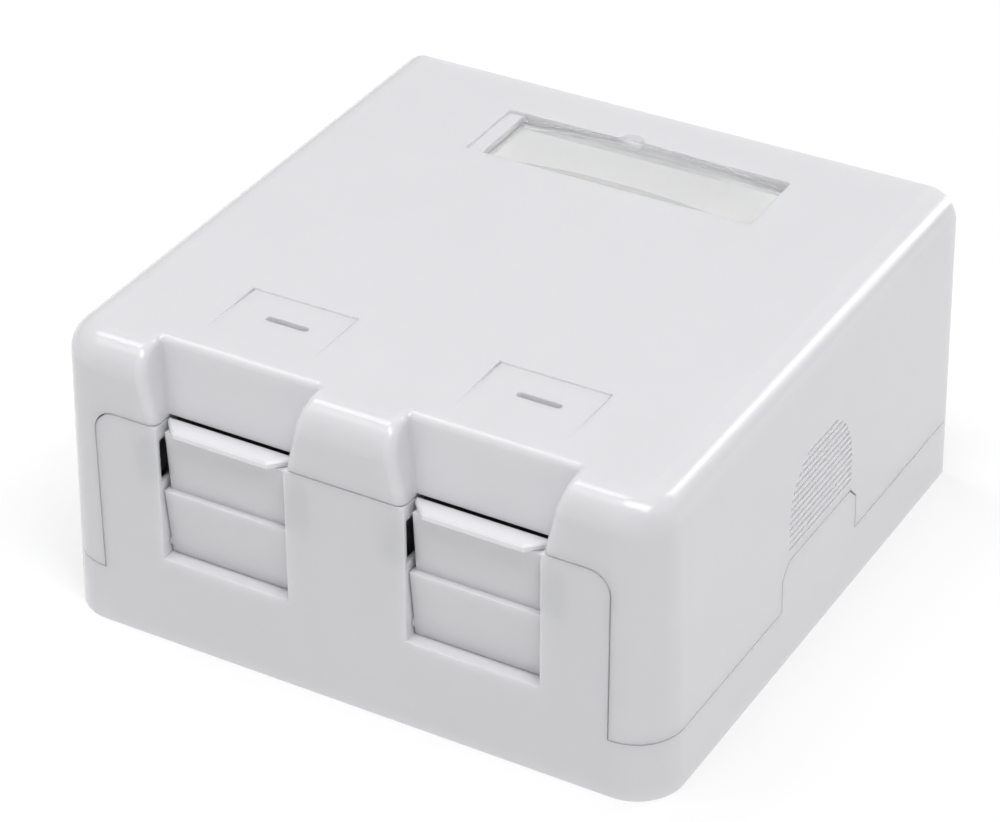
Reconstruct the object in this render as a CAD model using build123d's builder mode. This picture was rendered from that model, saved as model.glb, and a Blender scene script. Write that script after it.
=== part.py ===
# Two-port surface mount jack box, in millimetres.
# The origin is at the centre of the underside, +X to the right as seen from the ports,
# +Y towards the back and +Z up. Depths named "from the front" start at the front face.
import os
from math import radians, sqrt, tan

from build123d import *

os.makedirs("parts", exist_ok=True)

# Overall form
box_width = 65.0
box_depth = 63.5
front_height = 31.5
back_height = 32.5
side_draft = 1.5
corner_radius = 4.9
top_edge_radius = 3.1
wall = 2.0
top_wall = 2.2
floor_thickness = 2.2

# Parting between base and cover
parting_gap = 0.15
rim_height = 6.25
panel_margin = 5.4
panel_drop = 7.38
panel_corner_radius = 2.2
panel_thickness = 2.0
tongue_thickness = 1.0
tongue_rise = 1.8
tongue_clearance = 0.15

# Ports
port_pitch = 26.6
port_width = 13.9
sill_height = 9.6
frame_half_width = 8.85
frame_thickness = 3.6
jamb_thickness = 0.5
relief_width = 2.4
relief_skin = 0.45
relief_front = 1.2
relief_back = 7.0
relief_floor = 14.0
relief_bottom = 18.0
relief_top = 22.6

# Finger notches over the ports
notch_depth = 2.2
notch_lean = 14.0
notch_half_width = 7.0
notch_flare = 13.0
notch_wall = 1.5
notch_corner_radius = 0.3
notch_edge_radius = 0.9
lip_gap = 0.28

# Shutters
shutter_clearance = 0.15
shutter_sill_gap = 0.1
shutter_step_height = 17.0
shutter_lip_thickness = 0.8
shutter_lip_depth = 2.1
shutter_lip_corner = 1.7
shutter_lip_edge = 0.2
shutter_face_setback = 0.05
shutter_step_setback = 0.6
shutter_foot_setback = 1.43
shutter_step_depth = 0.67
shutter_head_setback = 0.8
shutter_thickness = 1.2
shutter_side_relief = 0.3
pivot_setback = 1.75
pivot_height = 10.9
pivot_radius = 0.6
pivot_clearance = 0.05
pivot_length = 1.25
pivot_end_clearance = 0.15

# Icon recesses and label pocket on the top
icon_width = 11.65
icon_back = 15.3
icon_run = 8.0
icon_depth = 0.2
icon_line_width = 0.2
icon_line_depth = 0.38
icon_slot_shift = 0.4
icon_slot_width = 4.6
icon_slot_length = 0.8
icon_slot_depth = 1.3
icon_slot_front = 11.05
label_x = 0.6
label_width = 31.9
label_length = 9.3
label_back_gap = 6.0
ledge_length = 1.6
ledge_depth = 0.4
pocket_depth = 1.9
pocket_backing = 1.0
pocket_corner_radius = 0.5
window_clearance = 0.2
window_front_gap = 0.4
window_thickness = 0.8
window_crown = 1.15
card_margin = 0.8
card_thickness = 0.25
scoop_radius = 1.5
scoop_lift = 0.5
scoop_shift = -1.9

# Cable entries in the sides
tab_centre = 33.2
tab_length = 16.2
tab_height = 11.25
tab_chamfer = 1.4
rib_arch_radius = 6.9
rib_arch_spring = 15.0
rib_arch_foot = 12.4
rib_pitch = 0.72
rib_groove_width = 0.34
rib_groove_depth = 0.2

# Cover posts and base bosses
post_side_gap = 6.3
post_back_gap = 7.0
front_post = 8.0
post_radius = 2.75
pin_radius = 1.5
pin_length = 5.0
pin_clearance = 0.05
boss_height = 12.0

# Fixing slots, cable hole, pads and tie bridges in the base
screw_spacing = 40.0
screw_line = 44.0
screw_slot_radius = 2.1
screw_slot_length = 8.0
screw_pad_radius = 4.6
screw_pad_height = 1.2
cable_hole_width = 18.0
cable_hole_length = 11.0
cable_hole_back_gap = 13.5
cable_hole_radius = 3.0
pad_width = 12.0
pad_length = 34.0
pad_thickness = 1.0
pad_x = 13.3
pad_centre = 21.5
tie_bridge_span = 6.0
tie_bridge_width = 3.0
tie_bridge_height = 3.4
tie_bridge_thickness = 1.2
tie_bridge_side_gap = 7.5

# Keystone jacks
jack_width = 14.5
jack_side_clearance = 0.1
jack_bottom = 8.2
jack_height = 16.0
jack_body_length = 13.4
socket_width = 11.7
socket_bottom = 13.0
socket_height = 6.8
socket_depth = 12.4
latch_slot_width = 6.4
latch_slot_height = 1.5
latch_key_width = 3.4
latch_key_height = 0.9
bar_front = 9.0
bar_width = 2.0
bar_clearance = 0.15
top_bar_height = 1.8
foot_height = 1.0
foot_length = 1.8
foot_half_width = 5.0
ridge_height = 1.3
ridge_half_width = 3.5
arm_thickness = 1.0
arm_rise = 1.1
arm_length = 6.0
arm_root = 2.0
bay_length = 10.4
bay_shoulder = 1.0
carrier_height = 2.7
carrier_front = 9.4
carrier_clearance = 0.15
wire_count = 8
wire_pitch = 1.02
wire_size = 0.36
wire_tip_height = 17.5
wire_tip_depth = 14.4
board_thickness = 1.4
board_margin = 0.35
idc_length = 11.0
idc_rows = 2
idc_per_row = 4
idc_pitch = 3.3
idc_slot_width = 0.9
idc_slot_depth = 8.0
idc_row_height = 6.2
blade_width = 2.1
blade_thickness = 0.4
blade_length = 7.0
blade_slit = 0.3
blade_clearance = 0.1
cap_thickness = 1.6
cap_fin_length = 3.6
cap_fin_width = 0.7
cap_clearance = 0.1

# Values worked out from the sizes above
front_y = -box_depth / 2
back_y = box_depth / 2
top_rise = (back_height - front_height) / box_depth
over_top = max(front_height, back_height) + 2
cover_bottom = rim_height + parting_gap
panel_height = front_height - panel_drop
notch_bottom = panel_height + parting_gap
panel_half_width = box_width / 2 - panel_margin
port_centres = {"left": -port_pitch / 2, "right": port_pitch / 2}
post_x = box_width / 2 - post_side_gap
post_places = [(0, front_y + front_post), (-post_x, back_y - post_back_gap), (post_x, back_y - post_back_gap)]
label_back = box_depth - label_back_gap
pocket_width = label_width - ledge_length
pocket_x = label_x + ledge_length / 2
cable_hole_centre = box_depth - cable_hole_back_gap
tie_bridge_x = box_width / 2 - tie_bridge_side_gap
jack_front = frame_thickness
jack_back = jack_front + jack_body_length
jack_top = jack_bottom + jack_height
socket_top = socket_bottom + socket_height
board_back = jack_back + board_thickness
idc_back = board_back + idc_length


def top_at(depth, inset=0.0):
    """Height of the sloping top at a depth from the front."""
    return front_height + top_rise * depth - inset


def side_at(height):
    """Half width of the drafted sides at a height."""
    return box_width / 2 - tan(radians(side_draft)) * height


def drafted_block(inset, top_inset, upright_radius, edge_radius):
    """The box's form, drawn in by inset at its sides and by top_inset at its top.

    The sides lean in by the draft, the top rises towards the back, the two front uprights
    are rounded, and so is the top's edge along the front and the sides if it has a radius.
    """
    half = box_width / 2 - inset
    lean = tan(radians(side_draft)) * over_top
    with BuildPart() as block:
        with BuildSketch(Plane.XZ.offset(inset - back_y)):
            with BuildLine():
                Polyline((-half, 0), (half, 0), (half - lean, over_top), (lean - half, over_top),
                         close=True)
            make_face()
        extrude(amount=box_depth - 2 * inset)
        split(bisect_by=Plane(origin=(0, front_y, top_at(0, top_inset)), x_dir=(1, 0, 0),
                              z_dir=(0, -top_rise, 1)), keep=Keep.BOTTOM)
        front_face = block.faces().sort_by(Axis.Y)[0]
        uprights = front_face.edges().sort_by(Axis.X)
        fillet([uprights[0], uprights[-1]], radius=upright_radius)
        if edge_radius > 0:
            top_face = block.faces().sort_by(Axis.Z)[-1]
            fillet(top_face.edges().sort_by(Axis.Y)[:-1], radius=edge_radius)
    return block.part


def notch_block(extra, sink):
    """Flared wedge of one finger notch for each port, larger all round by extra."""
    low = notch_bottom - sink
    high = over_top
    flare = tan(radians(notch_flare))
    lean = tan(radians(notch_lean))
    with BuildPart() as block:
        for port_x in port_centres.values():
            for height in (low, high):
                rise = height - notch_bottom
                half = notch_half_width + extra + flare * rise
                depth = notch_depth + extra + lean * rise
                with BuildSketch(Plane.XY.offset(height)):
                    with Locations((port_x, front_y - 5)):
                        Rectangle(2 * half, 5 + depth, align=(Align.CENTER, Align.MIN))
            loft()
    return block.part


def layer_of(block, low, high):
    """The layer of a block between two heights."""
    with BuildPart() as layer:
        add(block)
        split(bisect_by=Plane.XY.offset(low), keep=Keep.TOP)
        split(bisect_by=Plane.XY.offset(high), keep=Keep.BOTTOM)
    return layer.part


def is_front_skin(face):
    """True for the flat front, and for the rounded edge between the front and the top."""
    box = face.bounding_box()
    flat_front = box.size.Y < 0.01 and box.max.Y < front_y + 0.01
    rounded = face.geom_type == GeomType.CYLINDER and box.max.Y < front_y + top_edge_radius + 0.1
    return box.max.Z > notch_bottom + 1 and (flat_front or rounded)


def notch_rim(solid):
    """Edges where the finger notches meet the front, its rounded top edge and the top."""
    skin = solid.faces().filter_by(is_front_skin)
    skin.append(solid.faces().sort_by(Axis.Z)[-1])
    reach = notch_half_width + tan(radians(notch_flare)) * (back_height - notch_bottom) + 1
    rim = ShapeList()
    for edge in {e for face in skin for e in face.edges()}:
        owners = [face for face in skin if edge in face.edges()]
        middle = edge.center()
        beside_port = min(abs(middle.X - x) for x in port_centres.values()) < reach
        above_panel = edge.bounding_box().max.Z > notch_bottom + 0.1
        if len(owners) == 1 and beside_port and above_panel and middle.Y < front_y + box_depth / 4:
            rim.append(edge)
    return rim


def tab_outline(extra):
    """Face of the cable entry tab in a side, with chamfered upper corners, larger by extra."""
    half = tab_length / 2 + extra
    top = tab_height + extra
    centre = front_y + tab_centre
    with BuildSketch(Plane.YZ) as outline:
        with BuildLine():
            Polyline((centre - half, floor_thickness), (centre + half, floor_thickness),
                     (centre + half, top - tab_chamfer), (centre + half - tab_chamfer, top),
                     (centre - half + tab_chamfer, top), (centre - half, top - tab_chamfer), close=True)
        make_face()
    return outline.sketch


top_plane = Plane(origin=(0, front_y, front_height), x_dir=(1, 0, 0), z_dir=(0, -top_rise, 1))
outer_block = drafted_block(0, 0, corner_radius, top_edge_radius)
cavity_block = drafted_block(wall, top_wall, corner_radius - wall, 0)
tongue_inset = wall + tongue_clearance
tongue_block = drafted_block(tongue_inset, top_wall, corner_radius - tongue_inset, 0)
tongue_core = drafted_block(tongue_inset + tongue_thickness, top_wall,
                            corner_radius - tongue_inset - tongue_thickness, 0)

# The space inside the cover, which leaves a wall behind each notch and under the label pocket
with BuildPart() as cover_hollow:
    add(cavity_block)
    add(notch_block(notch_wall, 0), mode=Mode.SUBTRACT)
    with BuildSketch(top_plane.offset(-pocket_depth - pocket_backing)):
        with Locations((label_x, label_back - label_length / 2)):
            Rectangle(label_width + 2 * pocket_backing, label_length + 2 * pocket_backing)
    extrude(amount=over_top, mode=Mode.SUBTRACT)

# Cover: a drafted shell with finger notches, icon recesses and a label pocket
with BuildPart() as cover:
    add(layer_of(outer_block, cover_bottom, over_top))
    # Window for the base's front panel
    window_top = panel_height + parting_gap
    with BuildSketch(Plane.XZ.offset(-front_y)) as panel_window:
        with Locations((0, 0)):
            Rectangle(2 * (panel_half_width + parting_gap), window_top, align=(Align.CENTER, Align.MIN))
        fillet(panel_window.vertices().group_by(Axis.Y)[-1], radius=panel_corner_radius + parting_gap)
    extrude(amount=-(frame_thickness + notch_wall + 3), mode=Mode.SUBTRACT)
    # Finger notches, with small rounded inner corners and a rounded rim
    add(notch_block(0, 1), mode=Mode.SUBTRACT)
    inner_corners = cover.edges(Select.LAST).filter_by(
        lambda e: e.bounding_box().size.Z > 3 and e.center().Y > front_y + notch_depth)
    fillet(inner_corners, radius=notch_corner_radius)
    fillet(notch_rim(cover), radius=notch_edge_radius)
    # Raised lower edge of each notch, over the shutter's lip
    for port_x in port_centres.values():
        with BuildSketch(Plane.XY.offset(notch_bottom - 1)):
            with Locations((port_x, front_y)):
                Rectangle(port_width, notch_depth + notch_wall + 3, align=(Align.CENTER, Align.MIN))
        extrude(amount=1 + lip_gap, mode=Mode.SUBTRACT)
    add(cover_hollow.part, mode=Mode.SUBTRACT)
    # Notches for the base's cable entry tabs
    for side in (-1, 1):
        extrude(tab_outline(parting_gap).moved(Location((side * box_width / 2, 0, 0))),
                amount=-side * (wall + 2), both=True, mode=Mode.SUBTRACT)
    # Icon recesses: shallow wedges, deepest at the back, with a finer line down each side
    # and a blind slot
    for port_x in port_centres.values():
        left_edge = port_x - icon_width / 2
        right_line = port_x + icon_width / 2 - icon_line_width
        for x, width, depth in ((left_edge, icon_width, icon_depth),
                                (left_edge, icon_line_width, icon_line_depth),
                                (right_line, icon_line_width, icon_line_depth)):
            with BuildSketch(Plane.YZ.offset(x)):
                with BuildLine():
                    Polyline((front_y + icon_back, top_at(icon_back, depth)), (front_y + icon_back, over_top),
                             (front_y + icon_back - icon_run, over_top),
                             (front_y + icon_back - icon_run, top_at(icon_back - icon_run)), close=True)
                make_face()
            extrude(amount=width, mode=Mode.SUBTRACT)
        with BuildSketch(top_plane):
            with Locations((port_x + icon_slot_shift, icon_slot_front + icon_slot_length / 2)):
                SlotOverall(icon_slot_width, icon_slot_length)
        extrude(amount=-icon_slot_depth, mode=Mode.SUBTRACT)
    # Label pocket, with a shallow ledge at its left end and a scoop at its back edge
    with BuildSketch(top_plane):
        with Locations((label_x, label_back - label_length / 2)):
            RectangleRounded(label_width, label_length, pocket_corner_radius)
    extrude(amount=-ledge_depth, mode=Mode.SUBTRACT)
    with BuildSketch(top_plane):
        with Locations((pocket_x, label_back - label_length / 2)):
            RectangleRounded(pocket_width, label_length, pocket_corner_radius)
    extrude(amount=-pocket_depth, mode=Mode.SUBTRACT)
    with Locations(top_plane.from_local_coords((label_x + scoop_shift, label_back, scoop_lift))):
        Sphere(scoop_radius, mode=Mode.SUBTRACT)
    # Fine grooves in an arch over each tab, where the wall can be cut for a thicker cable
    groove_count = int((rib_arch_spring + rib_arch_radius - rib_arch_foot) / rib_pitch)
    for i in range(groove_count):
        height = rib_arch_foot + i * rib_pitch
        above_spring = max(0, height - rib_arch_spring)
        half = sqrt(rib_arch_radius ** 2 - above_spring ** 2)
        with BuildSketch(Plane.XY.offset(height)):
            for side in (-1, 1):
                with Locations((side * (side_at(height) - rib_groove_depth + 1), front_y + tab_centre)):
                    Rectangle(2, 2 * half)
        extrude(amount=rib_groove_width, mode=Mode.SUBTRACT)
    # Posts that reach down to the base's bosses, each with a pin
    with BuildSketch(Plane.XY.offset(boss_height + parting_gap)):
        with Locations(*post_places):
            Circle(post_radius)
    extrude(until=Until.NEXT)
    with BuildSketch(Plane.XY.offset(boss_height + parting_gap)):
        with Locations(*post_places):
            Circle(pin_radius)
    extrude(amount=-pin_length)
cover.part.label = "cover"
export_step(cover.part, "parts/cover.step")

# Base: a shallow tray whose front panel, jack bays, bosses and cable tabs stand up from its floor
with BuildPart() as front_panel:
    add(outer_block)
    with BuildSketch(Plane.XZ.offset(-front_y)) as panel_face:
        Rectangle(2 * panel_half_width, panel_height, align=(Align.CENTER, Align.MIN))
        fillet(panel_face.vertices().group_by(Axis.Y)[-1], radius=panel_corner_radius)
    extrude(amount=-panel_thickness, mode=Mode.INTERSECT)

with BuildPart() as tongue:
    add(layer_of(tongue_block, floor_thickness / 2, rim_height + tongue_rise))
    add(layer_of(tongue_core, 0, over_top), mode=Mode.SUBTRACT)
    # No tongue behind the front panel and the tabs
    with BuildSketch(Plane.XY):
        with Locations((0, front_y)):
            Rectangle(2 * panel_half_width, 2 * frame_thickness)
        with Locations((0, front_y + tab_centre)):
            Rectangle(2 * box_width, tab_length)
    extrude(amount=over_top, mode=Mode.SUBTRACT)

with BuildPart() as tabs:
    add(layer_of(outer_block, floor_thickness, tab_height + 1))
    add(layer_of(cavity_block, 0, over_top), mode=Mode.SUBTRACT)
    extrude(tab_outline(0), amount=box_width, both=True, mode=Mode.INTERSECT)

bar_top = jack_bottom + jack_height + bar_clearance + top_bar_height
bay_back = frame_thickness + bay_length

with BuildPart() as base:
    add(layer_of(outer_block, 0, rim_height))
    add(layer_of(cavity_block, floor_thickness, over_top), mode=Mode.SUBTRACT)
    add(tongue.part)
    add(front_panel.part)
    add(tabs.part)
    for port_x in port_centres.values():
        # Frame round the port and the bay walls behind it
        with BuildSketch(Plane.XY.offset(floor_thickness / 2)):
            with Locations((port_x, front_y + panel_thickness / 2)):
                Rectangle(2 * frame_half_width, frame_thickness - panel_thickness / 2,
                          align=(Align.CENTER, Align.MIN))
        extrude(amount=panel_height - floor_thickness / 2)
        bay_half = jack_width / 2 + jack_side_clearance
        wall_middle = (bay_half + frame_half_width) / 2
        with BuildSketch(Plane.XY.offset(floor_thickness / 2)):
            with Locations((port_x - wall_middle, front_y + frame_thickness / 2),
                           (port_x + wall_middle, front_y + frame_thickness / 2)):
                Rectangle(frame_half_width - bay_half, bay_back - frame_thickness / 2,
                          align=(Align.CENTER, Align.MIN))
        extrude(amount=panel_height - floor_thickness / 2)
        with BuildSketch(Plane.XY.offset(floor_thickness / 2)):
            with Locations((port_x - wall_middle, front_y + bar_front + bar_width / 2),
                           (port_x + wall_middle, front_y + bar_front + bar_width / 2)):
                Rectangle(frame_half_width - bay_half, bar_width + 2 * bay_shoulder)
        extrude(amount=bar_top - floor_thickness / 2)
        # Bars that the jack's feet and latch hold on to
        with BuildSketch(Plane.XY.offset(bar_top)):
            with Locations((port_x, front_y + bar_front + bar_width / 2)):
                Rectangle(2 * wall_middle, bar_width)
        extrude(amount=-top_bar_height)
        with BuildSketch(Plane.XY.offset(floor_thickness / 2)):
            with Locations((port_x, front_y + bar_front + bar_width / 2)):
                Rectangle(2 * wall_middle, bar_width)
        extrude(amount=jack_bottom - bar_clearance - floor_thickness / 2)
        # Opening, open at its top, with a level sill
        with BuildSketch(Plane.XY.offset(sill_height)):
            with Locations((port_x, front_y)):
                Rectangle(port_width, 2 * frame_thickness)
        extrude(amount=panel_height, mode=Mode.SUBTRACT)
        # Windows through the sides of the frame, beside the upper half of the shutter
        with BuildSketch(Plane.XY.offset(relief_bottom)):
            with Locations((port_x, front_y + relief_skin)):
                Rectangle(port_width + 2 * relief_width, relief_back - relief_skin,
                          align=(Align.CENTER, Align.MIN))
        extrude(amount=relief_top - relief_bottom, mode=Mode.SUBTRACT)
        # Hollows behind the windows, which leave the sides of the opening thin
        hollow_width = relief_width - jamb_thickness
        hollow_x = port_width / 2 + jamb_thickness + hollow_width / 2
        with BuildSketch(Plane.XY.offset(relief_floor)):
            with Locations((port_x - hollow_x, front_y + relief_front),
                           (port_x + hollow_x, front_y + relief_front)):
                Rectangle(hollow_width, relief_back - relief_front, align=(Align.CENTER, Align.MIN))
        extrude(amount=relief_top - relief_floor, mode=Mode.SUBTRACT)
        # Pivot holes for the shutter's pins
        with BuildSketch(Plane.YZ.offset(port_x)):
            with Locations((front_y + pivot_setback, pivot_height)):
                Circle(pivot_radius + pivot_clearance)
        extrude(amount=port_width / 2 - shutter_clearance + pivot_length + pivot_end_clearance,
                both=True, mode=Mode.SUBTRACT)
    # Bosses for the cover's pins
    with BuildSketch(Plane.XY.offset(floor_thickness / 2)):
        with Locations(*post_places):
            Circle(post_radius)
    extrude(amount=boss_height - floor_thickness / 2)
    with BuildSketch(Plane.XY.offset(boss_height)):
        with Locations(*post_places):
            Circle(pin_radius + pin_clearance)
    extrude(amount=-pin_length - parting_gap, mode=Mode.SUBTRACT)
    # Fixing slots in raised pads, and the rear cable hole
    screw_places = [(x, front_y + screw_line) for x in (-screw_spacing / 2, screw_spacing / 2)]
    pad_span = screw_slot_length + 2 * (screw_pad_radius - screw_slot_radius)
    with BuildSketch(Plane.XY.offset(floor_thickness / 2)):
        with Locations(*screw_places):
            SlotOverall(pad_span, 2 * screw_pad_radius)
    extrude(amount=floor_thickness / 2 + screw_pad_height)
    with BuildSketch(Plane.XY):
        with Locations(*screw_places):
            SlotOverall(screw_slot_length, 2 * screw_slot_radius)
        with Locations((0, front_y + cable_hole_centre)):
            RectangleRounded(cable_hole_width, cable_hole_length, cable_hole_radius)
    extrude(amount=floor_thickness + screw_pad_height, mode=Mode.SUBTRACT)
    # Bridges for cable ties beside the side entries
    for x in (-tie_bridge_x, tie_bridge_x):
        with BuildSketch(Plane.XY.offset(floor_thickness / 2)):
            with Locations((x, front_y + tab_centre)):
                Rectangle(tie_bridge_span, tie_bridge_width)
        extrude(amount=floor_thickness / 2 + tie_bridge_height)
        with BuildSketch(Plane.XY.offset(floor_thickness)):
            with Locations((x, front_y + tab_centre)):
                Rectangle(tie_bridge_span - 2 * tie_bridge_thickness, 2 * tie_bridge_width)
        extrude(amount=tie_bridge_height - tie_bridge_thickness, mode=Mode.SUBTRACT)
    # Recesses for the adhesive pads in the underside
    with BuildSketch(Plane.XY):
        with Locations((-pad_x, front_y + pad_centre), (pad_x, front_y + pad_centre)):
            Rectangle(pad_width, pad_length)
    extrude(amount=pad_thickness, mode=Mode.SUBTRACT)
base.part.label = "base"
export_step(base.part, "parts/base.step")

# Adhesive pads under the base
for side, port_x in port_centres.items():
    with BuildPart() as pad:
        with BuildSketch(Plane.XY):
            with Locations((pad_x if side == "right" else -pad_x, front_y + pad_centre)):
                Rectangle(pad_width - parting_gap, pad_length - parting_gap)
        extrude(amount=pad_thickness)
    pad.part.label = f"adhesive_pad_{side}"
    export_step(pad.part, f"parts/adhesive_pad_{side}.step")

# Paper label and its clear, slightly bowed window
with BuildPart() as label_card:
    with BuildSketch(top_plane.offset(-pocket_depth)):
        with Locations((pocket_x, label_back - label_length / 2)):
            Rectangle(pocket_width - card_margin, label_length - card_margin)
    extrude(amount=card_thickness)
label_card.part.label = "label_card"
export_step(label_card.part, "parts/label_card.step")

window_foot = -pocket_depth + card_thickness
window_half = pocket_width / 2 - window_clearance
window_edge = top_plane.from_local_coords((pocket_x, label_back - window_clearance, 0))
with BuildPart() as label_window:
    with BuildSketch(Plane(origin=window_edge, x_dir=(1, 0, 0), z_dir=(0, -1, -top_rise))):
        with BuildLine():
            ThreePointArc((-window_half, window_foot), (0, window_foot + window_crown),
                          (window_half, window_foot))
            Line((window_half, window_foot), (window_half, window_foot + window_thickness))
            ThreePointArc((window_half, window_foot + window_thickness),
                          (0, window_foot + window_crown + window_thickness),
                          (-window_half, window_foot + window_thickness))
            Line((-window_half, window_foot + window_thickness), (-window_half, window_foot))
        make_face()
    extrude(amount=label_length - window_clearance - window_front_gap)
label_window.part.label = "label_window"
export_step(label_window.part, "parts/label_window.step")

# Shutters: flaps that fold out and down on two pins in the frame
lip_top = panel_height + parting_gap - 0.02
lip_bottom = lip_top - shutter_lip_thickness
shutter_half = port_width / 2 - shutter_clearance
step_back = shutter_step_setback + shutter_step_depth
foot_back = shutter_foot_setback + shutter_thickness + 0.1
for side, port_x in port_centres.items():
    # Lip with cut front corners and broken front edges
    with BuildPart() as lip:
        with BuildSketch(Plane.XY.offset(lip_bottom)) as lip_outline:
            with Locations((port_x, front_y + shutter_face_setback)):
                Rectangle(2 * shutter_half, shutter_lip_depth, align=(Align.CENTER, Align.MIN))
            chamfer(lip_outline.vertices().group_by(Axis.Y)[0], length=shutter_lip_corner)
        extrude(amount=shutter_lip_thickness)
        level_edges = lip.edges().filter_by(lambda e: e.bounding_box().size.Z < 0.01).sort_by(Axis.Y)
        chamfer(level_edges[:6], length=shutter_lip_edge)
    with BuildPart() as shutter:
        # Lower panel, leaning forward, up to the step
        with BuildSketch(Plane.YZ.offset(port_x)):
            with BuildLine():
                Polyline((front_y + shutter_foot_setback, sill_height + shutter_sill_gap),
                         (front_y + foot_back, sill_height + shutter_sill_gap),
                         (front_y + step_back + shutter_thickness, shutter_step_height),
                         (front_y + shutter_step_setback, shutter_step_height), close=True)
            make_face()
        extrude(amount=shutter_half, both=True)
        # Upper panel, narrower and set back by the step
        with BuildSketch(Plane.YZ.offset(port_x)):
            with BuildLine():
                Polyline((front_y + step_back, shutter_step_height - 0.5),
                         (front_y + step_back + shutter_thickness, shutter_step_height - 0.5),
                         (front_y + step_back + shutter_thickness, shutter_step_height),
                         (front_y + shutter_head_setback + shutter_thickness, lip_bottom),
                         (front_y + shutter_head_setback, lip_bottom),
                         (front_y + step_back, shutter_step_height), close=True)
            make_face()
        extrude(amount=shutter_half - shutter_side_relief, both=True)
        add(lip.part)
        # Pivot pins, one at each end
        for end in (-1, 1):
            with BuildSketch(Plane.YZ.offset(port_x + end * shutter_half)):
                with Locations((front_y + pivot_setback, pivot_height)):
                    Circle(pivot_radius)
            extrude(amount=end * pivot_length)
    shutter.part.label = f"shutter_{side}"
    export_step(shutter.part, f"parts/shutter_{side}.step")

# Keystone jacks
half_jack = jack_width / 2
idc_middle = jack_bottom + jack_height / 2
row_bases = {"lower": jack_bottom, "upper": jack_top - idc_row_height}
idc_columns = [(i - (idc_per_row - 1) / 2) * idc_pitch for i in range(idc_per_row)]
carrier_bottom = socket_top + carrier_clearance
wire_level = carrier_bottom + wire_size / 2 + 0.05


def block_between(port_x, half, depths, heights, mode=Mode.ADD):
    """Add or cut a block centred on a port, between two depths and two heights."""
    with Locations((port_x, front_y + depths[0], heights[0])):
        Box(2 * half, depths[1] - depths[0], heights[1] - heights[0],
            align=(Align.CENTER, Align.MIN, Align.MIN), mode=mode)


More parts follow.
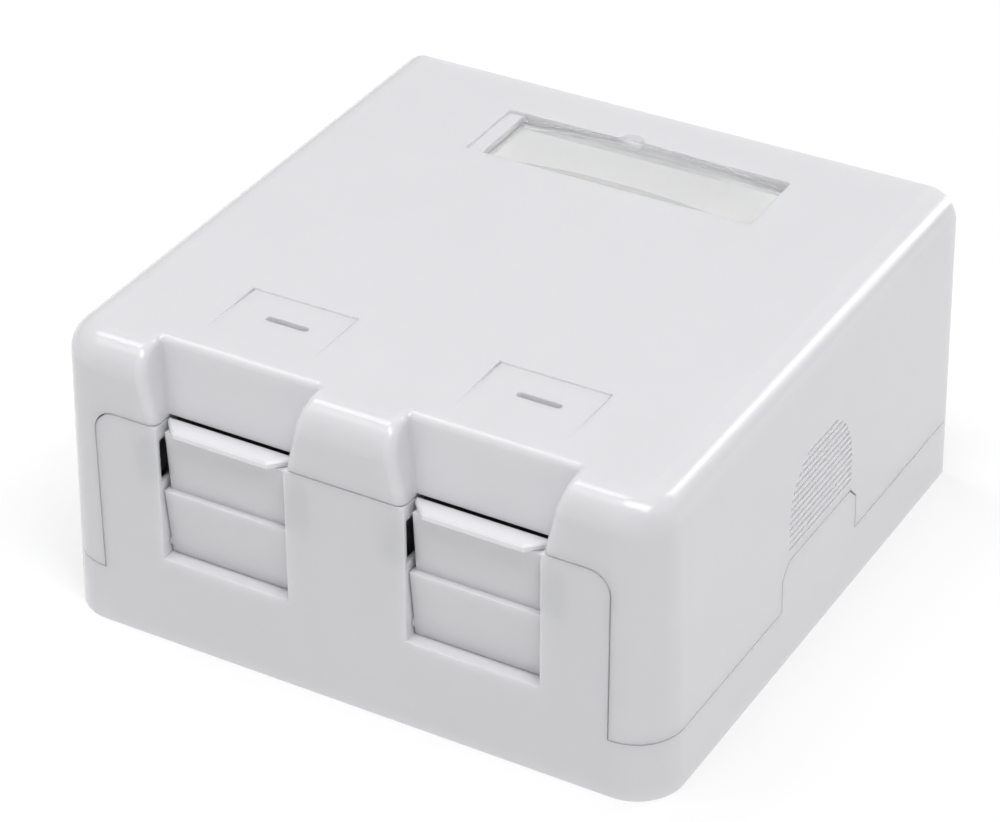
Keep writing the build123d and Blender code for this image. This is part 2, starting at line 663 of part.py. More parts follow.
for side, port_x in port_centres.items():
    with BuildPart() as housing:
        block_between(port_x, half_jack, (jack_front, jack_back), (jack_bottom, jack_top))
        # Plug socket with its stepped latch slot below
        socket_end = jack_front + socket_depth
        latch_bottom = socket_bottom - latch_slot_height
        block_between(port_x, socket_width / 2, (jack_front, socket_end), (socket_bottom, socket_top),
                      mode=Mode.SUBTRACT)
        block_between(port_x, latch_slot_width / 2, (jack_front, socket_end),
                      (latch_bottom, socket_bottom), mode=Mode.SUBTRACT)
        block_between(port_x, latch_key_width / 2, (jack_front, socket_end),
                      (latch_bottom - latch_key_height, latch_bottom), mode=Mode.SUBTRACT)
        # Pocket for the contact carrier, open to the socket and at the back
        block_between(port_x, socket_width / 2, (carrier_front - 3 * wire_size, jack_back),
                      (socket_top, carrier_bottom + carrier_height + carrier_clearance),
                      mode=Mode.SUBTRACT)
        # Feet astride the lower bar, and the ridge and latch arm astride the upper bar
        bar_back = bar_front + bar_width + bar_clearance
        foot_front = bar_front - bar_clearance - foot_length
        block_between(port_x, foot_half_width, (foot_front, foot_front + foot_length),
                      (jack_bottom - foot_height, jack_bottom))
        block_between(port_x, foot_half_width, (bar_back, bar_back + foot_length),
                      (jack_bottom - foot_height, jack_bottom))
        block_between(port_x, ridge_half_width, (foot_front, foot_front + foot_length),
                      (jack_top, jack_top + ridge_height))
        with BuildSketch(Plane.YZ.offset(port_x)):
            with BuildLine():
                Polyline((front_y + bar_back, jack_top), (front_y + bar_back, jack_top + ridge_height),
                         (front_y + bar_back + arm_root / 2, jack_top + arm_rise + arm_thickness),
                         (front_y + bar_back + arm_length, jack_top + arm_rise + arm_thickness + 0.3),
                         (front_y + bar_back + arm_length, jack_top + arm_rise + 0.3),
                         (front_y + bar_back + arm_root, jack_top + arm_rise),
                         (front_y + bar_back + arm_root, jack_top), close=True)
            make_face()
        extrude(amount=ridge_half_width, both=True)
    housing.part.label = f"jack_housing_{side}"
    export_step(housing.part, f"parts/jack_housing_{side}.step")

    wire_places = [(i - (wire_count - 1) / 2) * wire_pitch for i in range(wire_count)]
    with BuildPart() as carrier:
        block_between(port_x, socket_width / 2 - carrier_clearance, (carrier_front, jack_back),
                      (carrier_bottom, carrier_bottom + carrier_height))
        with BuildSketch(Plane.XY.offset(carrier_bottom)):
            with Locations(*[(port_x + x, front_y + carrier_front) for x in wire_places]):
                Rectangle(wire_size + 0.1, jack_back - carrier_front, align=(Align.CENTER, Align.MIN))
        extrude(amount=wire_size + 0.1, mode=Mode.SUBTRACT)
    carrier.part.label = f"contact_carrier_{side}"
    export_step(carrier.part, f"parts/contact_carrier_{side}.step")

    # Sprung contact wires, folded back into the socket
    with BuildPart() as wires:
        for x in wire_places:
            with BuildLine(Plane.YZ.offset(port_x + x)) as wire_path:
                Polyline((front_y + jack_back, wire_level),
                         (front_y + carrier_front - 1.4 * wire_size, wire_level),
                         (front_y + carrier_front - 2 * wire_size, wire_level - 4 * wire_size),
                         (front_y + wire_tip_depth, wire_tip_height))
            with BuildSketch(Plane(wire_path.line @ 0, x_dir=(1, 0, 0), z_dir=wire_path.line % 0)):
                Rectangle(wire_size, wire_size)
            sweep(path=wire_path.line, transition=Transition.RIGHT)
    wires.part.label = f"contact_wires_{side}"
    export_step(wires.part, f"parts/contact_wires_{side}.step")

    with BuildPart() as board:
        block_between(port_x, half_jack - board_margin, (jack_back, board_back),
                      (jack_bottom + board_margin, jack_top - board_margin))
    board.part.label = f"circuit_board_{side}"
    export_step(board.part, f"parts/circuit_board_{side}.step")

    # Wire terminal block: two rows of slots with a blade across each
    blade_back = board_back + blade_length
    with BuildPart() as terminal:
        block_between(port_x, half_jack, (board_back, idc_back), (jack_bottom, jack_top))
        for base_height in row_bases.values():
            for x in idc_columns:
                block_between(port_x + x, idc_slot_width / 2, (idc_back - idc_slot_depth, idc_back),
                              (base_height, base_height + idc_row_height), mode=Mode.SUBTRACT)
                middle = base_height + idc_row_height / 2
                pocket = blade_thickness / 2 + blade_clearance
                block_between(port_x + x, blade_width / 2 + blade_clearance,
                              (board_back, blade_back + blade_clearance),
                              (middle - pocket, middle + pocket), mode=Mode.SUBTRACT)
    terminal.part.label = f"terminal_block_{side}"
    export_step(terminal.part, f"parts/terminal_block_{side}.step")

    with BuildPart() as blades:
        for base_height in row_bases.values():
            middle = base_height + idc_row_height / 2
            heights = (middle - blade_thickness / 2, middle + blade_thickness / 2)
            for x in idc_columns:
                block_between(port_x + x, blade_width / 2, (board_back, blade_back), heights)
                block_between(port_x + x, blade_slit / 2,
                              (blade_back - blade_length / 2, blade_back), heights, mode=Mode.SUBTRACT)
    blades.part.label = f"terminal_blades_{side}"
    export_step(blades.part, f"parts/terminal_blades_{side}.step")

    # Caps that close the two rows, with fins that stand in the slots
    for row, base_height in row_bases.items():
        with BuildPart() as cap:
            block_between(port_x, half_jack, (idc_back, idc_back + cap_thickness),
                          (base_height, base_height + idc_row_height))
            for x in idc_columns:
                block_between(port_x + x, cap_fin_width / 2, (idc_back - cap_fin_length, idc_back),
                              (base_height + cap_clearance, base_height + idc_row_height - cap_clearance))
        cap.part.label = f"terminal_cap_{row}_{side}"
        export_step(cap.part, f"parts/terminal_cap_{row}_{side}.step")
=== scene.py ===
"""Looks of a two-port surface mount jack box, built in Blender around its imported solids.

Lengths are in metres in the frame of the solids: the origin is at the centre of the underside,
+X to the right as seen from the ports, +Y towards the back and +Z up.
"""

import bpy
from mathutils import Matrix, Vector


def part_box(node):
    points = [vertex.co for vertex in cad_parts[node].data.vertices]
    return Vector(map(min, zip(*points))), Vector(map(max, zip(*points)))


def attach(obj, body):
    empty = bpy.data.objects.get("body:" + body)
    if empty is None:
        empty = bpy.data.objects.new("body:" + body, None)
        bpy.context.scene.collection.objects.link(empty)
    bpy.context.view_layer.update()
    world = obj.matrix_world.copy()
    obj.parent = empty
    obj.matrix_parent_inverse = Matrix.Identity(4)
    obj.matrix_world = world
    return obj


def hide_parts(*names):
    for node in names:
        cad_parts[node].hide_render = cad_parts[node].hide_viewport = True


bl_info = {
    "name": "Surface Mount Jack Box",
    "version": (1, 0, 0),
    "blender": (4, 5, 0),
    "location": "3D View > Sidebar > Jack Box",
    "description": "Finishes, label strip, contacts, pads and studio of a two-port jack box",
    "category": "Object",
}

from math import radians

import bpy
import numpy as np
from bpy.props import FloatProperty, FloatVectorProperty, PointerProperty
from mathutils import Matrix, Vector

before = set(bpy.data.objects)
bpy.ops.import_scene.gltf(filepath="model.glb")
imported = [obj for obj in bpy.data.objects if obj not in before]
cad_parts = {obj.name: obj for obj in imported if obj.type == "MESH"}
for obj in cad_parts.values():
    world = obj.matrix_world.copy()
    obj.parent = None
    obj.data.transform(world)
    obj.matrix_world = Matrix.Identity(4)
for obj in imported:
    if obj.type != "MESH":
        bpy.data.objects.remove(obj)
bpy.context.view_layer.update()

SIDES = ("left", "right")
MM = 0.001

# How far light wanders under translucent plastic, in all and as a share for red, green and blue
LIGHT_DEPTH = 1.8 * MM
LIGHT_SHARES = (1.0, 0.95, 0.9)

# The cover's top rises by a millimetre over the depth of the box
TOP_SLOPE = 1.0 / 63.5
STRIP_EDGE = 0.15 * MM

CONTACTS = 8
HOOK_LEAN = 0.2 * MM
TAIL_SETBACK = 2.6 * MM

FLOOR_HALF = 3.0
# The floor lies a hair under the pads, which would show stripes in a plane shared with it
FLOOR_GAP = 0.05 * MM

# Name, place, size across and along the up direction, power in watts, up direction
LIGHTS = (
    ("strip_above_left", (-0.42, 0.08, 0.90), (0.5, 0.25), 1.8, (0, 1, 0)),
    ("key_above_left", (-0.42, -0.3, 0.86), (0.5, 0.3), 0.9, (0, 1, 0)),
    ("key_above_right", (0.22, -0.25, 0.94), (0.8, 0.3), 5.9, (0, 1, 0)),
    ("rim_behind_right", (0.55, 0.9, 0.6), (0.15, 0.8), 2.5, (0, 0, 1)),
)
LIGHT_TARGET = (0, 0, 0.02)

# Camera solved from the photograph's edges; the sensor and lens are in millimetres
CAMERA_PLACE = (0.136179, -0.242176, 0.192464)
CAMERA_DEGREES = (57.4106, 0.0677, 29.664)
CAMERA_SENSOR = 36.0
CAMERA_LENS = 121.397
CAMERA_SHIFT = (0.00102, -0.00029)
CAMERA_CLIP = (0.01, 50.0)


# Shader node groups shared by the finishes

def new_group(name, inputs, outputs):
    """A shader node group with named sockets; returns it with its input and output nodes."""
    group = bpy.data.node_groups.new(name, "ShaderNodeTree")
    for label, kind, value in inputs:
        socket = group.interface.new_socket(label, in_out="INPUT", socket_type=kind)
        if value is not None:
            socket.default_value = value
    for label, kind in outputs:
        group.interface.new_socket(label, in_out="OUTPUT", socket_type=kind)
    return group, group.nodes.new("NodeGroupInput"), group.nodes.new("NodeGroupOutput")


def noise(tree, vector, scale, detail=2.0, roughness=0.5):
    """A noise texture node on a vector socket; scale is a number or a socket."""
    node = tree.nodes.new("ShaderNodeTexNoise")
    node.inputs["Detail"].default_value = detail
    node.inputs["Roughness"].default_value = roughness
    tree.links.new(vector, node.inputs["Vector"])
    if isinstance(scale, (int, float)):
        node.inputs["Scale"].default_value = scale
    else:
        tree.links.new(scale, node.inputs["Scale"])
    return node


def stretched(tree, vector, scale, turn=(0.0, 0.0, 0.0)):
    """The vector stretched by a scale and turned by angles in radians."""
    node = tree.nodes.new("ShaderNodeMapping")
    node.inputs["Scale"].default_value = scale
    node.inputs["Rotation"].default_value = turn
    tree.links.new(vector, node.inputs["Vector"])
    return node.outputs["Vector"]


def math_node(tree, operation, *values):
    """A math node; each value is a number or a socket."""
    node = tree.nodes.new("ShaderNodeMath")
    node.operation = operation
    for socket, value in zip(node.inputs, values):
        if isinstance(value, (int, float)):
            socket.default_value = value
        else:
            tree.links.new(value, socket)
    return node.outputs[0]


def make_moulded_group():
    """Moulded plastic: cloudy colour and gloss from the melt's flow, and a fine eroded grain.

    The colour is the base colour times 1 plus Mottle times (cloud - 0.5), the roughness is its
    base value plus Spread times (cloud - 0.5), and the height sums a fine and a coarser grain.
    """
    coarse_scale, coarse_height = 0.13, 0.6
    group, source, sink = new_group(
        "moulded_surface",
        [("Vector", "NodeSocketVector", None),
         ("Colour", "NodeSocketColor", (0.8, 0.8, 0.8, 1)),
         ("Mottle", "NodeSocketFloat", 0.03),
         ("Cloud Scale", "NodeSocketFloat", 120.0),
         ("Grain Scale", "NodeSocketFloat", 5000.0),
         ("Roughness", "NodeSocketFloat", 0.3),
         ("Spread", "NodeSocketFloat", 0.06)],
        [("Colour", "NodeSocketColor"), ("Roughness", "NodeSocketFloat"),
         ("Height", "NodeSocketFloat")])
    given = source.outputs
    cloud = noise(group, given["Vector"], given["Cloud Scale"], detail=3.0)
    grain = noise(group, given["Vector"], given["Grain Scale"])
    waves = noise(group, given["Vector"],
                  math_node(group, "MULTIPLY", given["Grain Scale"], coarse_scale))
    middle = math_node(group, "SUBTRACT", cloud.outputs["Fac"], 0.5)
    shade = math_node(group, "MULTIPLY_ADD", middle, given["Mottle"], 1.0)
    tint = group.nodes.new("ShaderNodeVectorMath")
    tint.operation = "SCALE"
    group.links.new(given["Colour"], tint.inputs[0])
    group.links.new(shade, tint.inputs["Scale"])
    group.links.new(tint.outputs["Vector"], sink.inputs["Colour"])
    rough = math_node(group, "MULTIPLY_ADD", middle, given["Spread"], given["Roughness"])
    group.links.new(rough, sink.inputs["Roughness"])
    height = math_node(group, "MULTIPLY_ADD", waves.outputs["Fac"], coarse_height,
                       grain.outputs["Fac"])
    group.links.new(height, sink.inputs["Height"])
    return group


def make_scuff_group():
    """Handling marks: thin stretched streaks that raise the roughness a little."""
    threshold = 0.62
    group, source, sink = new_group(
        "handling_scuffs",
        [("Vector", "NodeSocketVector", None), ("Roughness", "NodeSocketFloat", 0.3),
         ("Amount", "NodeSocketFloat", 0.1)],
        [("Roughness", "NodeSocketFloat")])
    along = stretched(group, source.outputs["Vector"], (300.0, 2400.0, 900.0), (0.3, 0.2, 0.7))
    streaks = noise(group, along, 1.0, detail=3.0)
    over = math_node(group, "SUBTRACT", streaks.outputs["Fac"], threshold)
    marks = math_node(group, "MAXIMUM", over, 0.0)
    rough = math_node(group, "MULTIPLY_ADD", marks, source.outputs["Amount"],
                      source.outputs["Roughness"])
    group.links.new(rough, sink.inputs["Roughness"])
    return group


def shared_group(tree, name, maker):
    """A node with the named group, which is made the first time that it is asked for."""
    node = tree.nodes.new("ShaderNodeGroup")
    node.node_tree = bpy.data.node_groups.get(name) or maker()
    return node


# Finishes

def blank_material(name):
    """A material with a Principled BSDF and Object coordinates."""
    material = bpy.data.materials.new(name)
    material.use_nodes = True
    tree = material.node_tree
    place = tree.nodes.new("ShaderNodeTexCoord").outputs["Object"]
    return material, tree, tree.nodes["Principled BSDF"], place


def add_bump(tree, shader, height, strength, distance):
    """Lifts the surface by a height socket; distance is in metres."""
    bump = tree.nodes.new("ShaderNodeBump")
    bump.inputs["Strength"].default_value = strength
    bump.inputs["Distance"].default_value = distance
    tree.links.new(height, bump.inputs["Height"])
    tree.links.new(bump.outputs["Normal"], shader.inputs["Normal"])


def two_tones(tree, shader, mask, colour, dark, low=0.3, high=0.7):
    """Runs the base colour from a darker tone at mask value low to the colour at high."""
    ramp = tree.nodes.new("ShaderNodeValToRGB")
    first, second = ramp.color_ramp.elements
    first.position, second.position = low, high
    first.color = (*(dark * c for c in colour), 1)
    second.color = (*colour, 1)
    tree.links.new(mask, ramp.inputs["Fac"])
    tree.links.new(ramp.outputs["Color"], shader.inputs["Base Color"])


def moulded_plastic(name, colour, roughness, grain_scale=5000.0, grain_depth=0.004 * MM,
                    translucency=0.0):
    """Moulded plastic with flow clouds, eroded grain and faint handling marks.

    Translucency is the share of the light that wanders under the surface.
    """
    material, tree, shader, place = blank_material(name)
    surface = shared_group(tree, "moulded_surface", make_moulded_group)
    surface.inputs["Colour"].default_value = (*colour, 1)
    surface.inputs["Grain Scale"].default_value = grain_scale
    surface.inputs["Roughness"].default_value = roughness
    tree.links.new(place, surface.inputs["Vector"])
    wear = shared_group(tree, "handling_scuffs", make_scuff_group)
    tree.links.new(place, wear.inputs["Vector"])
    tree.links.new(surface.outputs["Roughness"], wear.inputs["Roughness"])
    tree.links.new(surface.outputs["Colour"], shader.inputs["Base Color"])
    tree.links.new(wear.outputs["Roughness"], shader.inputs["Roughness"])
    add_bump(tree, shader, surface.outputs["Height"], strength=0.6, distance=grain_depth)
    shader.inputs["Subsurface Weight"].default_value = translucency
    shader.inputs["Subsurface Radius"].default_value = LIGHT_SHARES
    shader.inputs["Subsurface Scale"].default_value = LIGHT_DEPTH
    return material


def paper(name, colour):
    """Uncoated card: fibres of two sizes lift the surface and tint it faintly."""
    material, tree, shader, place = blank_material(name)
    fibres = noise(tree, place, 3500.0, detail=5.0, roughness=0.7)
    felt = noise(tree, place, 700.0, detail=3.0, roughness=0.6)
    two_tones(tree, shader, felt.outputs["Fac"], colour, dark=0.97)
    add_bump(tree, shader, fibres.outputs["Fac"], strength=0.5, distance=0.02 * MM)
    shader.inputs["Roughness"].default_value = 0.85
    shader.inputs["Specular IOR Level"].default_value = 0.3
    return material


def clear_plastic(name, colour, roughness):
    """Clear moulded strip: transmits light, with a slow ripple left by its moulding.

    Half of the light passes straight through, so that the card under the strip stays bright.
    """
    material, tree, shader, place = blank_material(name)
    ripple = noise(tree, place, 260.0)
    add_bump(tree, shader, ripple.outputs["Fac"], strength=0.25, distance=0.03 * MM)
    shader.inputs["Base Color"].default_value = (*colour, 1)
    shader.inputs["Roughness"].default_value = roughness
    shader.inputs["IOR"].default_value = 1.49
    shader.inputs["Transmission Weight"].default_value = 1.0
    shader.inputs["Alpha"].default_value = 0.5
    return material


def plated_metal(name, colour, roughness):
    """Plated spring metal: drawn along Y, with long thin streaks in colour and roughness."""
    spread = 0.2
    material, tree, shader, place = blank_material(name)
    drawn = noise(tree, stretched(tree, place, (900.0, 60.0, 900.0)), 8.0, detail=3.0)
    two_tones(tree, shader, drawn.outputs["Fac"], colour, dark=0.86)
    rough = math_node(tree, "MULTIPLY_ADD", drawn.outputs["Fac"], spread,
                      roughness - spread / 2)
    tree.links.new(rough, shader.inputs["Roughness"])
    add_bump(tree, shader, drawn.outputs["Fac"], strength=0.2, distance=0.005 * MM)
    shader.inputs["Metallic"].default_value = 1.0
    return material


def board_laminate(name, resist, weave):
    """Solder resist over woven glass: a crossed weave shows faintly through the colour."""
    weave_share = 0.35
    material, tree, shader, place = blank_material(name)
    threads = []
    for axis in ("X", "Z"):
        wave = tree.nodes.new("ShaderNodeTexWave")
        wave.wave_type = "BANDS"
        wave.bands_direction = axis
        wave.inputs["Scale"].default_value = 600.0
        wave.inputs["Distortion"].default_value = 0.6
        tree.links.new(place, wave.inputs["Vector"])
        threads.append(wave.outputs["Fac"])
    crossing = math_node(tree, "MULTIPLY", *threads)
    mix = tree.nodes.new("ShaderNodeMix")
    mix.data_type = "RGBA"
    mix.inputs["A"].default_value = (*resist, 1)
    mix.inputs["B"].default_value = (*weave, 1)
    tree.links.new(math_node(tree, "MULTIPLY", crossing, weave_share), mix.inputs["Factor"])
    tree.links.new(mix.outputs["Result"], shader.inputs["Base Color"])
    add_bump(tree, shader, crossing, strength=0.3, distance=0.01 * MM)
    shader.inputs["Roughness"].default_value = 0.35
    return material


def foam(name, colour):
    """Closed-cell foam tape: small cell pits, each with painted shade darker towards its
    middle.
    """
    painted_pit_shade, edge_gain = 0.8, 0.25
    material, tree, shader, place = blank_material(name)
    cells = tree.nodes.new("ShaderNodeTexVoronoi")
    cells.inputs["Scale"].default_value = 3200.0
    tree.links.new(place, cells.inputs["Vector"])
    # Painted shade: the colour is darkest at each cell's middle, where the bump sinks a pit
    shade = math_node(tree, "MULTIPLY_ADD", cells.outputs["Distance"], edge_gain, painted_pit_shade)
    tint = tree.nodes.new("ShaderNodeVectorMath")
    tint.operation = "SCALE"
    tint.inputs[0].default_value = colour
    tree.links.new(shade, tint.inputs["Scale"])
    tree.links.new(tint.outputs["Vector"], shader.inputs["Base Color"])
    add_bump(tree, shader, cells.outputs["Distance"], strength=0.8, distance=0.08 * MM)
    shader.inputs["Roughness"].default_value = 0.9
    return material


def floor_paint(name, colour, glow):
    """Matt, faintly glowing floor; it is clear from below, so that the underside shows."""
    material, tree, shader, place = blank_material(name)
    speckle = noise(tree, place, 40.0, detail=3.0)
    two_tones(tree, shader, speckle.outputs["Fac"], colour, dark=0.985, low=0.0, high=1.0)
    shader.inputs["Roughness"].default_value = 0.8
    shader.inputs["Specular IOR Level"].default_value = 0.1
    shader.inputs["Emission Color"].default_value = (1, 1, 1, 1)
    shader.inputs["Emission Strength"].default_value = glow
    geometry = tree.nodes.new("ShaderNodeNewGeometry")
    clear = tree.nodes.new("ShaderNodeBsdfTransparent")
    one_sided = tree.nodes.new("ShaderNodeMixShader")
    surface = tree.nodes["Material Output"].inputs["Surface"]
    tree.links.new(geometry.outputs["Backfacing"], one_sided.inputs[0])
    tree.links.new(shader.outputs["BSDF"], one_sided.inputs[1])
    tree.links.new(clear.outputs["BSDF"], one_sided.inputs[2])
    tree.links.new(one_sided.outputs["Shader"], surface)
    return material


def finish_node(name, material):
    """Gives a solid's object its finish in every material slot."""
    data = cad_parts[name].data
    if not data.materials:
        data.materials.append(material)
    for i in range(len(data.materials)):
        data.materials[i] = material


# Surfaces worked out on a grid of two parameters

def grid_faces(rows, columns, wrap=False):
    """Quads of a grid whose point (i, j) has the number i * columns + j.

    With wrap, the last column joins the first one.
    """
    i, j = np.meshgrid(np.arange(rows - 1), np.arange(columns if wrap else columns - 1),
                       indexing="ij")
    j_next = (j + 1) % columns
    corners = [i * columns + j, (i + 1) * columns + j, (i + 1) * columns + j_next,
               i * columns + j_next]
    return np.stack(corners, axis=-1).reshape(-1, 4)


def tube_faces(rows, around):
    """Faces of a tube of rings, and a fan at each end.

    The fans meet at two extra points, numbered rows * around and rows * around + 1.
    """
    here = np.arange(around)
    after = (here + 1) % around
    last = (rows - 1) * around
    middle = np.full(around, rows * around)
    start = np.stack([after, here, middle], axis=-1)
    end = np.stack([last + here, last + after, middle + 1], axis=-1)
    sides = grid_faces(rows, around, wrap=True)[:, ::-1]
    return sides.tolist() + start.tolist() + end.tolist()


def add_piece(name, points, faces, material, body):
    """Puts points and faces into a smooth mesh object at the origin that rides on a body."""
    mesh = bpy.data.meshes.new(name)
    mesh.from_pydata(points.tolist(), [], faces)
    mesh.validate()
    mesh.polygons.foreach_set("use_smooth", np.full(len(mesh.polygons), True))
    mesh.update()
    mesh.materials.append(material)
    piece = bpy.data.objects.new(name, mesh)
    bpy.context.scene.collection.objects.link(piece)
    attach(piece, body)
    return piece


def bowed_strip(centre, half_x, half_y, foot, top, edge, crown, slope):
    """Closed strip: a rounded rectangle in Y and Z carried along a line bowed up in the middle.

    The line is z = crown * (1 - (x / half_x)^2), and all of the strip rises by slope * y. The
    section is a rectangle smaller by the radius edge, with a quarter circle round each corner;
    towards an end, that radius is edge * cos t while x grows by edge * sin t.
    """
    stations, arc = 48, 5
    # The rounding of an end stops a little short of a quarter turn, where its cap starts
    turn = np.linspace(0, 0.47 * np.pi, 5)
    # A column near each end of the long sides keeps their shading flat up to the corners
    near_corner = 0.95
    reach, radius = half_x - edge + edge * np.sin(turn), edge * np.cos(turn)
    x = np.concatenate([-reach[::-1], np.linspace(-reach[0], reach[0], stations)[1:-1], reach])
    radius = np.concatenate([radius[::-1], np.full(stations - 2, edge), radius])[:, None]
    core_y, core_z = half_y - edge, (top - foot) / 2 - edge
    y_core, z_core, v = [], [], []
    for i, (side, level) in enumerate([(1, -1), (1, 1), (-1, 1), (-1, -1)]):
        y_core += [side * core_y] * arc
        z_core += [level * core_z] * arc
        v += list(np.linspace(i - 1, i, arc) * np.pi / 2)
        if side == level:
            y_core += [near_corner * side * core_y, -near_corner * side * core_y]
            z_core += [level * core_z] * 2
            v += [i * np.pi / 2] * 2
    y_core, z_core, v = map(np.array, (y_core, z_core, v))
    y = y_core + radius * np.cos(v)
    bow = crown * (1 - (x / half_x) ** 2)[:, None]
    z = (foot + top) / 2 + z_core + radius * np.sin(v) + bow + slope * y
    along = np.broadcast_to(x[:, None], y.shape)
    rings = np.stack([centre[0] + along, centre[1] + y, z], axis=-1)
    ends = rings[[0, -1]].mean(axis=1)
    return np.concatenate([rings.reshape(-1, 3), ends]), tube_faces(*y.shape)


def swept_wire(path, radius, sides=10):
    """Round wire along a path in a plane of constant x.

    Each point of the path carries a circle in the plane of +X and the path's own normal:
    p(t, a) = path(t) + radius * (cos a * X + sin a * N(t)), closed by a fan at both ends.
    """
    tangent = np.gradient(path, axis=0)
    tangent /= np.linalg.norm(tangent, axis=1, keepdims=True)
    across = np.array([1.0, 0.0, 0.0])
    normal = np.cross(tangent, across)[:, None]
    a = np.linspace(0, 2 * np.pi, sides, endpoint=False)[:, None]
    rings = path[:, None] + radius * (np.cos(a) * across + np.sin(a) * normal)
    points = np.concatenate([rings.reshape(-1, 3), path[:1], path[-1:]])
    return points, tube_faces(len(path), sides)


def rounded_path(corners, radius, steps=8):
    """Polyline in Y and Z with each inner corner replaced by a quadratic curve.

    Between the points where the curve leaves the straight runs, a and b, it is
    (1 - t)^2 * a + 2 * t * (1 - t) * corner + t^2 * b.
    """
    corners = np.array(corners, float)
    t = np.linspace(0, 1, steps)[:, None]
    runs = [corners[:1]]
    for before, here, after in zip(corners[:-2], corners[1:-1], corners[2:]):
        a = here + radius * (before - here) / np.linalg.norm(before - here)
        b = here + radius * (after - here) / np.linalg.norm(after - here)
        runs.append((1 - t) ** 2 * a + 2 * t * (1 - t) * here + t ** 2 * b)
    runs.append(corners[-1:])
    return np.concatenate(runs)


# Sizes and colours that a user would change

class JackBoxSettings(bpy.types.PropertyGroup):
    """Colours and sizes of the finishes, the wires and the studio."""

    shell_colour: FloatVectorProperty(
        name="Shell colour", description="Colour of the moulded shell",
        subtype="COLOR", size=3, default=(0.71, 0.706, 0.728), min=0, max=1)
    shell_roughness: FloatProperty(
        name="Shell roughness", description="Roughness of the shell's surface",
        subtype="FACTOR", default=0.18, min=0, max=1)
    translucency: FloatProperty(
        name="Translucency", description="Share of light let under the shell's surface",
        subtype="FACTOR", default=0.7, min=0, max=1)
    card_colour: FloatVectorProperty(
        name="Card colour", description="Colour of the label card",
        subtype="COLOR", size=3, default=(0.90, 0.91, 0.90), min=0, max=1)
    wire_radius: FloatProperty(
        name="Wire radius", description="Radius of each sprung contact wire",
        unit="LENGTH", precision=5, default=0.18 * MM, min=0.05 * MM, max=0.5 * MM)
    strip_crown: FloatProperty(
        name="Strip crown", description="Rise of the label window's middle",
        unit="LENGTH", precision=5, default=1.15 * MM, min=0, max=3 * MM)
    floor_colour: FloatVectorProperty(
        name="Floor colour", description="Colour of the studio floor",
        subtype="COLOR", size=3, default=(0.55, 0.55, 0.55), min=0, max=1)
    floor_glow: FloatProperty(
        name="Floor glow", description="Light of the backlit floor itself",
        default=0.42, min=0, max=2)
    world_light: FloatProperty(
        name="Surround", description="Brightness of the white surround",
        default=0.31, min=0, max=5)


# One operator for each piece or group of like pieces

class JACKBOX_OT_shell(bpy.types.Operator):
    """Finish the base, the cover and the two shutters in moulded plastic"""

    bl_idname = "jackbox.shell"
    bl_label = "Shell"

    def execute(self, context):
        settings = context.scene.jack_box
        colour = tuple(settings.shell_colour)
        shell = moulded_plastic("shell_plastic", colour, settings.shell_roughness,
                                translucency=settings.translucency)
        for node in ("base", "cover"):
            finish_node(node, shell)
        flap = moulded_plastic("shutter_plastic", colour, settings.shell_roughness + 0.12,
                               grain_scale=3600.0, grain_depth=0.012 * MM,
                               translucency=settings.translucency)
        for side in SIDES:
            finish_node(f"shutter_{side}", flap)
        return {"FINISHED"}


class JACKBOX_OT_label(bpy.types.Operator):
    """Make the clear label strip and the card under it"""

    bl_idname = "jackbox.label"
    bl_label = "Label window and card"

    def execute(self, context):
        settings = context.scene.jack_box
        low, high = map(np.array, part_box("label_window"))
        centre = (low + high) / 2
        half = (high - low) / 2
        foot = low[2] + TOP_SLOPE * half[1]
        top = high[2] - TOP_SLOPE * half[1] - settings.strip_crown
        points, faces = bowed_strip(centre, half[0], half[1], foot, top, STRIP_EDGE,
                                    settings.strip_crown, TOP_SLOPE)
        clear = clear_plastic("clear_strip", (1.0, 1.0, 1.0), roughness=0.08)
        strip = add_piece("label_strip", points, faces, clear, "window_group")
        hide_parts("label_window")
        finish_node("label_card", paper("label_paper", tuple(settings.card_colour)))
        return {"FINISHED"}


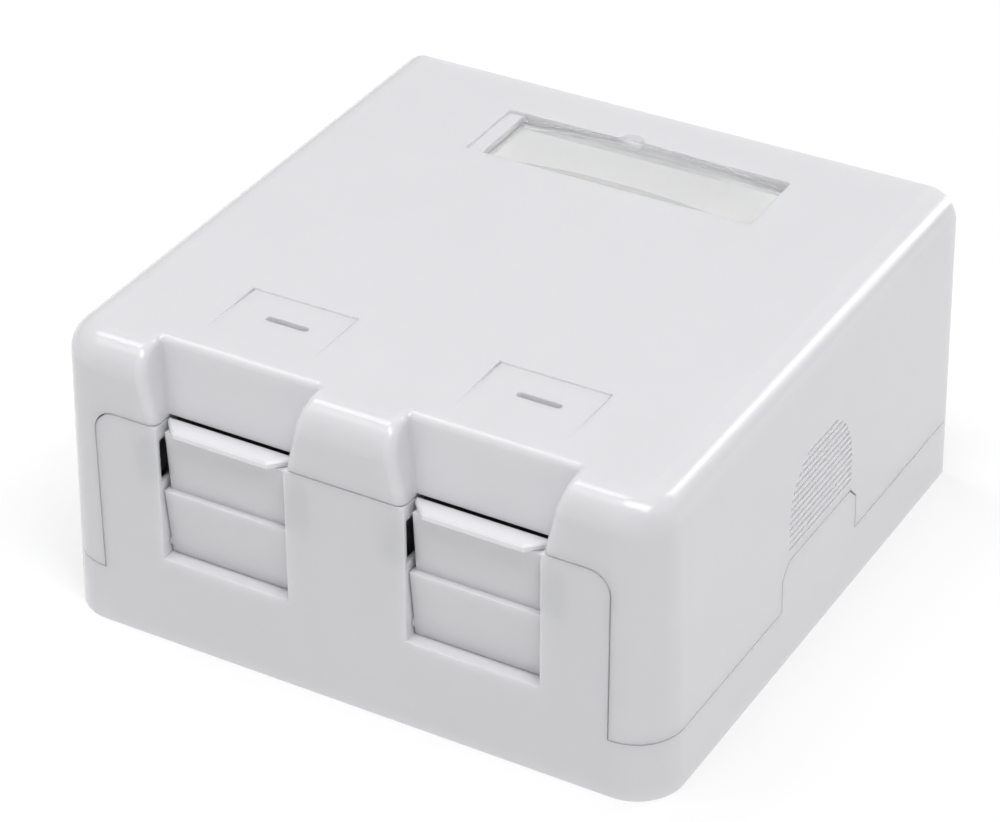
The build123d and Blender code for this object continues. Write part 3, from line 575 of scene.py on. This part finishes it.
class JACKBOX_OT_jacks(bpy.types.Operator):
    """Finish the keystone jacks and make their sprung contact wires"""

    bl_idname = "jackbox.jacks"
    bl_label = "Keystone jacks"

    def execute(self, context):
        housing = moulded_plastic("jack_housing_plastic", (0.03, 0.032, 0.032), 0.38)
        carrier = moulded_plastic("carrier_plastic", (0.02, 0.02, 0.022), 0.45)
        terminal = moulded_plastic("terminal_plastic", (0.74, 0.74, 0.75), 0.35)
        cap = moulded_plastic("cap_plastic", (0.42, 0.43, 0.44), 0.4)
        gold = plated_metal("gold_plate", (0.83, 0.6, 0.25), 0.22)
        tin = plated_metal("tin_plate", (0.72, 0.71, 0.69), 0.32)
        laminate = board_laminate("board_laminate", (0.01, 0.09, 0.035), (0.05, 0.2, 0.09))
        for side in SIDES:
            finish_node(f"jack_housing_{side}", housing)
            finish_node(f"contact_carrier_{side}", carrier)
            finish_node(f"circuit_board_{side}", laminate)
            finish_node(f"terminal_block_{side}", terminal)
            finish_node(f"terminal_blades_{side}", tin)
            finish_node(f"terminal_cap_upper_{side}", cap)
            finish_node(f"terminal_cap_lower_{side}", cap)
            self.add_wires(side, context.scene.jack_box.wire_radius, gold)
        return {"FINISHED"}

    def add_wires(self, side, radius, metal):
        """Makes one jack's wires, each a flat run, a hook in front and a run down and back."""
        low, high = map(np.array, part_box(f"contact_wires_{side}"))
        level = high[2] - radius
        front = low[1] + radius
        corners = [(high[1], level), (front + HOOK_LEAN, level), (front, level - 8 * radius),
                   (high[1] - TAIL_SETBACK, low[2] + radius)]
        path = rounded_path(corners, 2 * radius)
        for i, x in enumerate(np.linspace(low[0] + radius, high[0] - radius, CONTACTS)):
            points, faces = swept_wire(np.insert(path, 0, x, axis=1), radius)
            wire = add_piece(f"contact_wire_{side}_{i + 1}", points, faces, metal,
                             "base_group")
            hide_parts(f"contact_wires_{side}")


class JACKBOX_OT_pads(bpy.types.Operator):
    """Finish the adhesive pads under the base"""

    bl_idname = "jackbox.pads"
    bl_label = "Adhesive pads"

    def execute(self, context):
        tape = foam("foam_tape", (0.78, 0.78, 0.75))
        for side in SIDES:
            finish_node(f"adhesive_pad_{side}", tape)
        return {"FINISHED"}


class JACKBOX_OT_stage(bpy.types.Operator):
    """Make the floor, the soft studio light and the camera"""

    bl_idname = "jackbox.stage"
    bl_label = "Studio"

    def execute(self, context):
        settings = context.scene.jack_box
        self.add_floor(context.scene, settings)
        self.add_surround(context.scene, settings.world_light)
        for light in LIGHTS:
            self.add_softbox(context.scene, *light)
        self.add_camera(context.scene)
        context.scene.view_settings.view_transform = "Standard"
        return {"FINISHED"}

    def add_floor(self, scene, settings):
        """A flat square floor under the box."""
        line = np.linspace(-FLOOR_HALF, FLOOR_HALF, 13)
        x, y = np.meshgrid(line, line, indexing="ij")
        points = np.stack([x, y, np.full_like(x, -FLOOR_GAP)], axis=-1).reshape(-1, 3)
        mesh = bpy.data.meshes.new("studio_floor")
        mesh.from_pydata(points.tolist(), [], grid_faces(len(line), len(line)).tolist())
        mesh.materials.append(floor_paint("floor_paint", tuple(settings.floor_colour),
                                          settings.floor_glow))
        floor = bpy.data.objects.new("studio_floor", mesh)
        scene.collection.objects.link(floor)

    def add_surround(self, scene, strength):
        """An even white world."""
        world = bpy.data.worlds.new("white_surround")
        world.use_nodes = True
        surround = world.node_tree.nodes["Background"]
        surround.inputs["Color"].default_value = (1, 1, 1, 1)
        surround.inputs["Strength"].default_value = strength
        scene.world = world

    def add_softbox(self, scene, name, place, size, power, up):
        """A rectangular light aimed at the box."""
        light = bpy.data.lights.new(name, "AREA")
        light.shape = "RECTANGLE"
        light.size, light.size_y = size
        light.energy = power
        lamp = bpy.data.objects.new(name, light)
        lamp.location = place
        away = (Vector(place) - Vector(LIGHT_TARGET)).normalized()
        across = Vector(up).cross(away).normalized()
        axes = Matrix((across, away.cross(across), away)).transposed()
        lamp.rotation_euler = axes.to_euler()
        scene.collection.objects.link(lamp)

    def add_camera(self, scene):
        """The camera that stands where the photograph was taken from."""
        data = bpy.data.cameras.new("photo_camera")
        data.sensor_width = CAMERA_SENSOR
        data.lens = CAMERA_LENS
        data.shift_x, data.shift_y = CAMERA_SHIFT
        data.clip_start, data.clip_end = CAMERA_CLIP
        camera = bpy.data.objects.new("photo_camera", data)
        camera.location = CAMERA_PLACE
        camera.rotation_euler = [radians(angle) for angle in CAMERA_DEGREES]
        scene.collection.objects.link(camera)
        scene.camera = camera


class JACKBOX_PT_panel(bpy.types.Panel):
    """Lists the pieces of the jack box and their settings"""

    bl_label = "Jack Box"
    bl_idname = "JACKBOX_PT_panel"
    bl_space_type = "VIEW_3D"
    bl_region_type = "UI"
    bl_category = "Jack Box"

    def draw(self, context):
        settings = context.scene.jack_box
        for name in JackBoxSettings.__annotations__:
            self.layout.prop(settings, name)
        for operator in OPERATORS:
            self.layout.operator(operator.bl_idname)


OPERATORS = (JACKBOX_OT_shell, JACKBOX_OT_label, JACKBOX_OT_jacks, JACKBOX_OT_pads,
             JACKBOX_OT_stage)
CLASSES = (JackBoxSettings, *OPERATORS, JACKBOX_PT_panel)


def register():
    for entry in CLASSES:
        bpy.utils.register_class(entry)
    bpy.types.Scene.jack_box = PointerProperty(type=JackBoxSettings)


def unregister():
    del bpy.types.Scene.jack_box
    for entry in reversed(CLASSES):
        bpy.utils.unregister_class(entry)


def main():
    """Registers the classes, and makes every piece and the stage."""
    register()
    bpy.ops.jackbox.shell()
    bpy.ops.jackbox.label()
    bpy.ops.jackbox.jacks()
    bpy.ops.jackbox.pads()
    bpy.ops.jackbox.stage()


if __name__ == "__main__":
    main()
